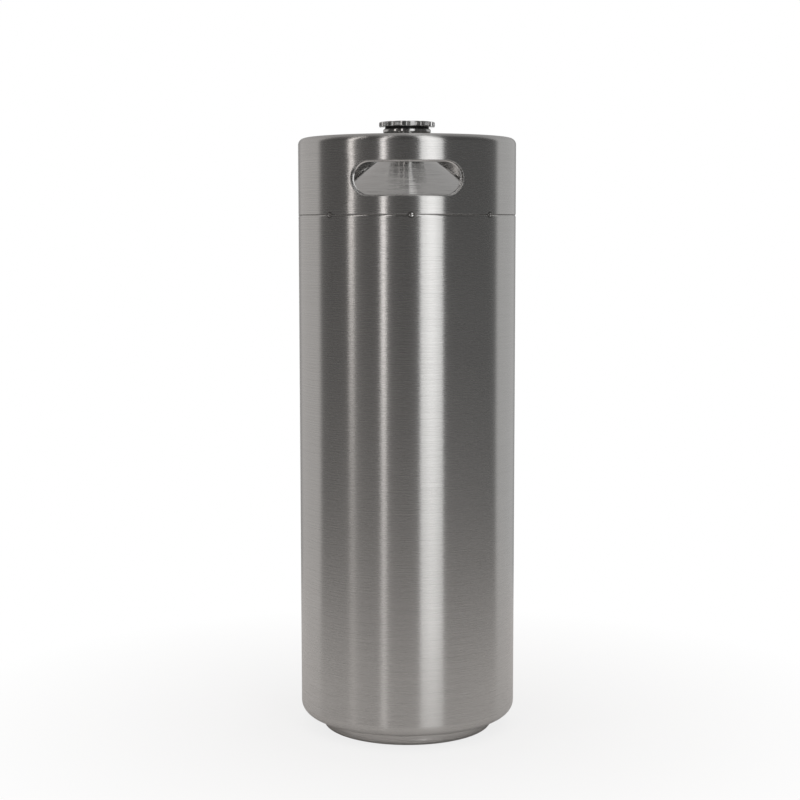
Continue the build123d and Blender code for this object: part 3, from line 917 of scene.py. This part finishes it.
class KEG_OT_handle_ring(bpy.types.Operator):
    """Build the handle ring with its rolled rim and its two finger slots with bevelled lips"""

    bl_idname = "keg.handle_ring"
    bl_label = "Handle ring"

    def execute(self, context):
        sizes = context.scene.keg_ring
        host = linked("keg_host", self.skin(sizes))
        wall = host.modifiers.new("Wall", "SOLIDIFY")
        wall.thickness = sizes.wall
        wall.offset = -1.0
        wall.use_even_offset = True
        edges = host.modifiers.new("Edges", "BEVEL")
        edges.width = sizes.edge_round
        edges.segments = 2
        edges.limit_method = "ANGLE"
        edges.angle_limit = radians(60)
        mesh = smooth(settled(host), finish("brushed_stainless"), 50.0)
        piece("handle_ring_rolled", mesh, "keg", "brushed_stainless", "handle_ring")
        return {"FINISHED"}

    def skin(self, sizes):
        """The ring's outer skin: a grid round the axis with a panel for each slot."""
        end_steps, straight_steps, between_steps, level_steps = 12, 24, 64, 24
        edge_strip = 0.4 * MM
        radius = reach_of("handle_ring")
        low = bottom_of("handle_ring")
        high = top_of("handle_ring")
        rim = radius - sizes.rim_width
        middle = low + sizes.slot_rise
        half_width = sizes.patch_half_width
        half_straight = (sizes.slot_width - sizes.slot_height) / 2
        across = evenly(-half_width, -half_straight, end_steps)
        across += evenly(-half_straight, half_straight, straight_steps)
        across += evenly(half_straight, half_width, end_steps) + [half_width]
        panel = [asin(x / radius) for x in across]
        between = evenly(panel[-1], pi + panel[0], between_steps)[1:]
        columns = panel + between + [pi + a for a in panel] + [pi + a for a in between]
        levels = evenly(middle - sizes.patch_half_height, middle + sizes.patch_half_height, level_steps)
        levels.append(middle + sizes.patch_half_height)
        profile = [(radius, low), (radius, low + edge_strip)] + [(radius, level) for level in levels]
        first, last = 2, len(profile) - 1
        profile += bent(
            [(radius, levels[-1]), (radius, high), (rim, high), (rim, high - sizes.rim_drop)],
            [sizes.top_bend, sizes.rim_bend],
        )[1:]
        bm = bmesh.new()
        grid = [[bm.verts.new((r * sin(a), -r * cos(a), z)) for a in columns] for r, z in profile]
        starts = (0, len(panel) + len(between))
        for row in range(len(profile) - 1):
            for column in range(len(columns)):
                inside = any(start <= column < start + len(panel) - 1 for start in starts)
                if inside and first <= row < last:
                    continue
                after = (column + 1) % len(columns)
                lower, upper = grid[row], grid[row + 1]
                bm.faces.new((lower[column], lower[after], upper[after], upper[column]))
        for start, side in zip(starts, (1, -1)):
            end = start + len(panel) - 1
            edge = grid[first][start:end + 1]
            edge += [grid[row][end] for row in range(first + 1, last + 1)]
            edge += grid[last][start:end][::-1]
            edge += [grid[row][start] for row in range(last - 1, first, -1)]
            self.slot_panel(bm, edge, radius, middle, side, sizes)
        loose = [vert for vert in bm.verts if not vert.link_faces]
        bmesh.ops.delete(bm, geom=loose, context="VERTS")
        return from_bmesh(bm, finish("brushed_stainless"))

    def slot_panel(self, bm, edge, radius, middle, side, sizes):
        """Joins the edge of a hole in the ring's grid to a slot's lip, loop by loop."""
        flat = [(vert.co.x * side, vert.co.z - middle) for vert in edge]
        half_straight = (sizes.slot_width - sizes.slot_height) / 2
        half_height = sizes.slot_height / 2
        profile = self.slot_profile(sizes)
        outer = profile[0][0] + 0.3 * MM
        loops = [(share, outer, 0) for share in (0.25, 0.5, 0.75, 0.9)]
        loops += [(1.0, offset, depth) for offset, depth in [(outer, 0)] + profile]
        before = edge
        for share, offset, depth in loops:
            ring = []
            r = radius - depth
            for x, z in flat:
                px, pz = stadium_point(half_straight, half_height + offset, x, z)
                if share < 1.0:
                    px, pz = x + (px - x) * share, z + (pz - z) * share
                px = px * r / radius
                ring.append(bm.verts.new((px * side, -sqrt(r * r - px * px) * side, middle + pz)))
            for index in range(len(ring)):
                after = (index + 1) % len(ring)
                bm.faces.new((before[index], before[after], ring[after], ring[index]))
            before = ring

    def slot_profile(self, sizes, steps=6):
        """The section of a slot's edge as (distance from the opening, depth): wall, valley and lip."""
        place = Vector((0.0, 0.0))
        heading = 0.0
        profile = [place]
        bends = (
            (sizes.slot_bend, sizes.slot_lean, sizes.slot_wall),
            (sizes.slot_valley, sizes.slot_valley_turn, 0.0),
            (sizes.slot_lip_bend, sizes.slot_lip_lean, sizes.slot_lip),
            (sizes.slot_roll, sizes.slot_roll_turn, 0.0),
        )
        for radius, turned_to, run in bends:
            start = place
            sense = 1 if turned_to > heading else -1
            for step in range(1, steps + 1):
                swing = heading + (turned_to - heading) * step / steps
                bow = Vector((sin(heading) - sin(swing), cos(heading) - cos(swing)))
                place = start + bow * radius * sense
                profile.append(place)
            heading = turned_to
            if run:
                place = place + Vector((-cos(heading), sin(heading))) * run
                profile.append(place)
        opening = min(point.x for point in profile)
        return [(point.x - opening, point.y) for point in profile]


class KEG_OT_seam_welds(bpy.types.Operator):
    """Build the tack welds on the seam and the welds inside the foot ring"""

    bl_idname = "keg.seam_welds"
    bl_label = "Tack welds"

    def execute(self, context):
        sizes = context.scene.keg_weld
        metal = finish("weld_metal")
        level = bottom_of("handle_ring") - sizes.tack_drop
        middle = reach_of("handle_ring_welds") - sizes.tack_depth / 2
        tack = weld_blob(sizes.tack_length, sizes.tack_height, sizes.tack_depth, middle, metal)
        mesh = round_the_axis(tack, sizes.tack_count, metal, level, sizes.tack_turn - pi / 2, 0.3)
        piece("seam_tack_welds", mesh, "keg", "weld_metal", "handle_ring_welds")
        top = top_of("foot_ring_welds")
        leg = top - bottom_of("foot_ring_welds")
        tall, deep, sunk = leg * 1.5, leg * 1.2, leg * 0.35
        inside = reach_of("foot_ring") - context.scene.keg_shell.foot_wall
        run = weld_blob(sizes.foot_length, tall, deep, inside - sunk, metal)
        mesh = round_the_axis(run, sizes.foot_count, metal, top - sunk, 0.0, 0.15)
        for vert in mesh.vertices:
            vert.co.z = min(vert.co.z, top)
        piece("foot_ring_weld_runs", mesh, "keg", "weld_metal", "foot_ring_welds")
        return {"FINISHED"}


def weld_blob(long, tall, deep, distance, material, fineness=24, mean=0.93, wave=0.07, waves=11, taper=0.25):
    """A rippled lozenge of weld metal, laid along Y at a distance from the axis on X."""
    bm = bmesh.new()
    bmesh.ops.create_uvsphere(bm, u_segments=fineness, v_segments=fineness * 2 // 3, radius=1.0)
    for vert in bm.verts:
        ripple = mean + wave * cos(vert.co.y * waves)
        fullness = 1 - taper * vert.co.y ** 4
        vert.co.x = distance + vert.co.x * deep / 2 * ripple * fullness
        vert.co.z = vert.co.z * tall / 2 * ripple * fullness
        vert.co.y = vert.co.y * long / 2
        swing = vert.co.y / distance
        vert.co.x, vert.co.y = vert.co.x * cos(swing), vert.co.x * sin(swing)
    return from_bmesh(bm, material)


class KEG_OT_neck(bpy.types.Operator):
    """Build the turned neck collar, its thread and the weld at its foot"""

    bl_idname = "keg.neck"
    bl_label = "Neck collar"

    def execute(self, context):
        sizes = context.scene.keg_neck
        steel = finish("turned_stainless")
        low = bottom_of("neck_collar")
        high = top_of("neck_collar")
        lip = reach_of("neck_collar")
        groove = sizes.groove_radius
        step = low + sizes.spigot_height
        bore = groove - sizes.thread_depth
        spigot = sizes.neck_radius - 0.85 * MM
        thread_start = high - sizes.top_margin - sizes.pitch * sizes.turns
        groove_low = thread_start - sizes.root_width
        lip_low = high - sizes.lip_height
        edge, mouth, mouth_edge = 0.2 * MM, 0.5 * MM, 0.1 * MM
        outline = rounded([
            (bore, low, edge),
            (spigot, low, 0),
            (spigot, step, 0),
            (sizes.neck_radius, step, 0),
            (sizes.neck_radius, lip_low, sizes.lip_round),
            (lip, lip_low + sizes.lip_under, sizes.lip_round),
            (lip, high - sizes.lip_over, sizes.lip_round),
            (lip - sizes.lip_top_width, high, edge),
            (groove + mouth, high, mouth_edge),
            (groove, high - mouth, mouth_edge),
            (groove, groove_low, 0),
            (bore, groove_low - sizes.thread_depth, edge),
        ])
        body = turned(outline, COLLAR_STEPS, steel)
        ridge = thread_ridge(groove, sizes.thread_depth, thread_start, sizes.turns, False, steel)
        piece("neck_collar_turned", joined([body, ridge], steel), "keg", "turned_stainless", "neck_collar")
        welds = context.scene.keg_weld
        metal = finish("weld_metal")
        ripple_long = 2 * pi * sizes.neck_radius / welds.scallops * 2.4
        ripple_deep = 1.2 * MM
        middle = sizes.neck_radius + welds.scallop_proud - ripple_deep / 2
        ripple = weld_blob(ripple_long, welds.scallop_height, ripple_deep, middle, metal, 9)
        mesh = round_the_axis(ripple, welds.scallops, metal, step)
        piece("neck_weld_ripples", mesh, "keg", "weld_metal", "neck_outer_weld")
        return {"FINISHED"}


class KEG_OT_gasket(bpy.types.Operator):
    """Build the black gasket under the cap"""

    bl_idname = "keg.gasket"
    bl_label = "Gasket"

    def execute(self, context):
        low = bottom_of("cap_gasket")
        high = top_of("cap_gasket")
        outer = reach_of("cap_gasket")
        clearance, edge, soft = 0.35 * MM, 0.1 * MM, 0.35 * MM
        inner = context.scene.keg_cap.core_radius + clearance
        outline = rounded([(inner, low, edge), (outer, low, soft), (outer, high, soft), (inner, high, edge)])
        mesh = turned(outline, COLLAR_STEPS, finish("gasket_rubber"))
        piece("gasket_ring", mesh, "gasket", "gasket_rubber", "cap_gasket")
        return {"FINISHED"}


class KEG_OT_cap(bpy.types.Operator):
    """Build the scalloped screw cap with its grip ribs and its threaded plug"""

    bl_idname = "keg.cap"
    bl_label = "Screw cap"

    def execute(self, context):
        sizes = context.scene.keg_cap
        steel = finish("turned_stainless")
        core, depth, turns = sizes.core_radius, sizes.thread_depth, sizes.thread_turns
        meshes = [self.disc(sizes, steel), self.plug(sizes, steel), self.ribs(sizes, steel)]
        neck = context.scene.keg_neck
        start = top_of("neck_collar") - neck.top_margin - neck.pitch * neck.turns + neck.pitch / 2
        meshes.append(thread_ridge(core, depth, start, turns, True, steel))
        piece("screw_cap_scalloped", joined(meshes, steel), "cap", "turned_stainless", "screw_cap")
        return {"FINISHED"}

    def disc(self, sizes, material):
        """The scalloped disc, turned round and then notched by its node tree."""
        high = top_of("screw_cap")
        low = top_of("cap_gasket")
        soft = sizes.edge_round
        loops = [loop * 6 * MM for loop in range(4)]
        rim = [(sizes.radius, high, soft), (sizes.radius, (high + low) / 2, 0), (sizes.radius, low, soft)]
        outline = rounded([(r, high, 0) for r in loops] + rim + [(r, low, 0) for r in loops[::-1]], 5)
        return grown(notch_tree(), {
            "Radius": sizes.radius,
            "Notches": sizes.lobes,
            "Notch radius": sizes.notch_radius,
            "Notch depth": sizes.notch_depth,
            "Rounding": sizes.lobe_round,
        }, material, turned(outline, sizes.lobes * LOBE_STEPS, material))

    def plug(self, sizes, material):
        """The hollow plug under the disc."""
        low = bottom_of("screw_cap")
        let_in = 1.0 * MM
        high = top_of("cap_gasket") + let_in
        core = sizes.core_radius
        hollow = core - sizes.plug_wall
        bevel, bevel_edge, edge = 0.5 * MM, 0.1 * MM, 0.2 * MM
        outline = rounded([
            (hollow, low, edge),
            (core - bevel, low, bevel_edge),
            (core, low + bevel, bevel_edge),
            (core, high, 0),
            (hollow, high, 0),
        ])
        return turned(outline, PLUG_STEPS, material)

    def ribs(self, sizes, material):
        """Fine upright grip ribs on every lobe."""
        bm = bmesh.new()
        for index in range(sizes.rib_count):
            self.add_rib(bm, sizes, sizes.rib_spread * (index / (sizes.rib_count - 1) - 0.5))
        return round_the_axis(from_bmesh(bm, material), sizes.lobes, material, first=pi / sizes.lobes)

    def add_rib(self, bm, sizes, swing):
        """Adds one rib: a low upright ridge with sloped ends, sunk a little into its lobe."""
        high = top_of("screw_cap") - sizes.edge_round
        low = top_of("cap_gasket") + sizes.edge_round
        sink = 0.15 * MM
        half = sizes.rib_width / 2
        flank_out, flank_aside = sizes.rib_proud * 0.6, half * 0.55
        rings = []
        for level, share in ((low, 0.0), (low + half, 1.0), (high - half, 1.0), (high, 0.0)):
            section = [(-sink, -half), (flank_out * share, -flank_aside), (sizes.rib_proud * share, 0)]
            section += [(flank_out * share, flank_aside), (-sink, half)]
            ring = []
            for out, aside in section:
                around = swing + aside / sizes.radius
                reach = sizes.radius + out
                ring.append(bm.verts.new((reach * cos(around), reach * sin(around), level)))
            rings.append(ring)
        for ring, following in zip(rings, rings[1:]):
            for index in range(len(ring)):
                after = (index + 1) % len(ring)
                bm.faces.new((ring[index], ring[after], following[after], following[index]))
        bm.faces.new(rings[0][::-1])
        bm.faces.new(rings[-1])


class KEG_OT_hidden_pieces(bpy.types.Operator):
    """Give every packed piece the finish of its slot; the visible ones are replaced later"""

    bl_idname = "keg.hidden_pieces"
    bl_label = "Inner pieces"

    def execute(self, context):
        for entry in frame["record"]["subparts"]:
            node = frame["nodes"][entry["node"]]
            node.data.materials.clear()
            node.data.materials.append(finish(entry["material_slot"]))
        return {"FINISHED"}


class KEG_OT_studio(bpy.types.Operator):
    """Set up the camera, the softboxes, the pale floor and the room"""

    bl_idname = "keg.studio"
    bl_label = "Studio"

    def execute(self, context):
        settings = context.scene.keg_studio
        self.camera(context, settings)
        self.floor(settings)
        self.room(context, settings)
        # Name, angle round the keg and width in degrees, levels of both ends, strength, tint
        softboxes = [
            ("key_softbox", 25.3, 9.4, -0.3, 5.5, 1.46, WHITE),
            ("key_softbox_left", 17.0, 7.2, -0.3, 5.5, 1.22, WHITE),
            ("key_softbox_right", 33.5, 7.0, -0.3, 5.5, 1.2, WHITE),
            ("left_softbox", -24.2, 5.0, 0.08, 5.5, 2.0, (1.0, 0.96, 0.945)),
            ("far_left_softbox", -59.5, 5.8, 0.42, 3.4, 2.1, (1.0, 0.95, 0.92)),
        ]
        away = settings.lamp_distance
        for name, swing, width, foot, top, strength, tint in softboxes:
            around = radians(swing)
            place = (away * sin(around), -away * cos(around), (foot + top) / 2)
            facing = Matrix.Rotation(around, 3, "Z") @ Matrix.Rotation(radians(90), 3, "X")
            wide = 2 * away * tan(radians(width) / 2)
            self.lamp(name, place, facing, wide, top - foot, strength, tint)
        self.lamp("overhead_strip", (0.1, 0.45, 2.4), Matrix.Identity(3), 0.12, 1.8, 0.35, WHITE)
        context.scene.view_settings.view_transform = "Standard"
        return {"FINISHED"}

    def camera(self, context, settings):
        """The camera, at the photographed view."""
        data = bpy.data.cameras.new("camera")
        data.lens = settings.lens
        data.sensor_width = 36.0
        camera = linked("camera", data)
        turn = Matrix.Rotation(settings.turn, 3, "Z")
        tilt = Matrix.Rotation(radians(90) - settings.tilt, 3, "X")
        roll = Matrix.Rotation(settings.roll, 3, "Z")
        camera.location = (0, -settings.distance, settings.height)
        camera.rotation_euler = (turn @ tilt @ roll).to_euler()
        context.scene.camera = camera

    def lamp(self, name, place, facing, width, height, strength, tint):
        """An evenly bright rectangle that shows only in the steel."""
        data = bpy.data.lights.new(name, "AREA")
        data.shape = "RECTANGLE"
        data.size = width
        data.size_y = height
        data.energy = strength * width * height * pi
        data.color = tint
        lamp = linked(name, data)
        lamp.location = place
        lamp.rotation_euler = facing.to_euler()
        lamp.visible_camera = False

    def floor(self, settings):
        """A round pale floor that shows nearly white and keeps the keg's soft shadow."""
        matt_grey = (0.67, 0.65, 0.637, 1.0)
        near_share, fade = 0.8, (0.12, 0.45)
        segments = 96
        bm = bmesh.new()
        bmesh.ops.create_circle(bm, cap_ends=True, segments=segments, radius=settings.floor_radius)
        mesh = bpy.data.meshes.new("floor")
        bm.to_mesh(mesh)
        bm.free()
        material = bpy.data.materials.new("floor")
        material.use_nodes = True
        tree = material.node_tree
        tree.nodes.clear()
        matt = output_of(tree, "ShaderNodeBsdfDiffuse", {"Color": matt_grey})
        white = output_of(tree, "ShaderNodeEmission", {"Color": (*WHITE, 1.0), "Strength": 1.0})
        away = vector_maths(tree, "LENGTH", object_place(tree))
        whiter = spread(tree, away, near_share, 1.0, *fade)
        to_camera = output_of(tree, "ShaderNodeLightPath", output="Is Camera Ray")
        seen = maths(tree, "MULTIPLY", to_camera, whiter)
        mixed = output_of(tree, "ShaderNodeMixShader", {0: seen, 1: matt, 2: white})
        add_node(tree, "ShaderNodeOutputMaterial", {0: mixed})
        mesh.materials.append(material)
        linked("floor", mesh)

    def room(self, context, settings):
        """White to the camera; to the steel, dark behind the camera and pale behind the keg."""
        warm, neutral = (1.0, 0.965, 0.945), (1.0, 0.995, 0.99)
        side_edge = (-0.5, 0.5)
        low_edge = (-0.3, -0.12)
        far_edge = (radians(152), radians(162))
        far_top = (0.1, 0.26)
        overhead_lean, overhead_edge = 0.6, (0.75, 1.0)
        backdrop_edge = (settings.backdrop_edge, settings.backdrop_edge + radians(8))
        backdrop_top = (0.1, 0.2)
        diffuse_room = 0.75
        world = bpy.data.worlds.new("room")
        world.use_nodes = True
        context.scene.world = world
        tree = world.node_tree
        tree.nodes.clear()
        parts, _, _ = taken_apart(tree, output_of(tree, "ShaderNodeTexCoord", output="Generated"))
        up = parts["Z"]
        around = maths(tree, "ARCTAN2", parts["X"], maths(tree, "MULTIPLY", parts["Y"], -1.0))
        aside = maths(tree, "ABSOLUTE", maths(tree, "SUBTRACT", around, settings.sweep_turn))
        edge = settings.sweep_edge
        gloom = spread(tree, aside, settings.dark_room, settings.side_room, 0.0, edge)
        dark = maths(tree, "ADD", gloom, spread(tree, up, settings.low_room, 0.0, *low_edge))
        beyond = spread(tree, up, settings.far_room, settings.ceiling, *far_top)
        pale = spread(tree, aside, settings.pale_room, beyond, *far_edge)
        level = spread(tree, aside, dark, pale, edge, edge + settings.sweep_blur)
        height = maths(tree, "MULTIPLY_ADD", parts["Y"], overhead_lean, up)
        overhead = spread(tree, height, 0.0, 1.0, *overhead_edge)
        glow = blend(tree, overhead, level, settings.ceiling)
        tint = blend_colour(tree, spread(tree, parts["X"], 0.0, 1.0, *side_edge), warm, neutral)
        ray = add_node(tree, "ShaderNodeLightPath").outputs
        soft = blend(tree, ray["Is Diffuse Ray"], glow, diffuse_room)
        behind = spread(tree, aside, 0.0, 1.0, *backdrop_edge)
        backdrop = maths(tree, "MULTIPLY", behind, spread(tree, up, 1.0, 0.0, *backdrop_top))
        mirrored = maths(tree, "ADD", ray["Is Glossy Ray"], ray["Is Transmission Ray"])
        white = maths(tree, "MULTIPLY_ADD", mirrored, backdrop, ray["Is Camera Ray"])
        light = output_of(tree, "ShaderNodeBackground", {
            "Color": blend_colour(tree, white, tint, WHITE),
            "Strength": blend(tree, white, soft, 1.0),
        })
        add_node(tree, "ShaderNodeOutputWorld", {0: light})


class KEG_PT_panel(bpy.types.Panel):
    """The keg's sizes and build steps"""

    bl_idname = "KEG_PT_panel"
    bl_label = "Mini Keg"
    bl_space_type = "VIEW_3D"
    bl_region_type = "UI"
    bl_category = "Mini Keg"

    def draw(self, context):
        for name, group in GROUPS.items():
            box = self.layout.box()
            box.label(text=group.__doc__)
            for key in group.__annotations__:
                box.prop(getattr(context.scene, name), key)
        for step in STEPS:
            self.layout.operator(step.bl_idname)


STEPS = (
    KEG_OT_hidden_pieces,
    KEG_OT_outer_shell,
    KEG_OT_foot,
    KEG_OT_handle_ring,
    KEG_OT_seam_welds,
    KEG_OT_neck,
    KEG_OT_gasket,
    KEG_OT_cap,
    KEG_OT_studio,
)
CLASSES = (*GROUPS.values(), *STEPS, KEG_PT_panel)


def register():
    for item in CLASSES:
        bpy.utils.register_class(item)
    for name, group in GROUPS.items():
        setattr(bpy.types.Scene, name, bpy.props.PointerProperty(type=group))


def unregister():
    for name in GROUPS:
        delattr(bpy.types.Scene, name)
    for item in reversed(CLASSES):
        bpy.utils.unregister_class(item)


def main():
    register()
    for step in STEPS:
        group, name = step.bl_idname.split(".")
        getattr(getattr(bpy.ops, group), name)()


if __name__ == "__main__":
    main()
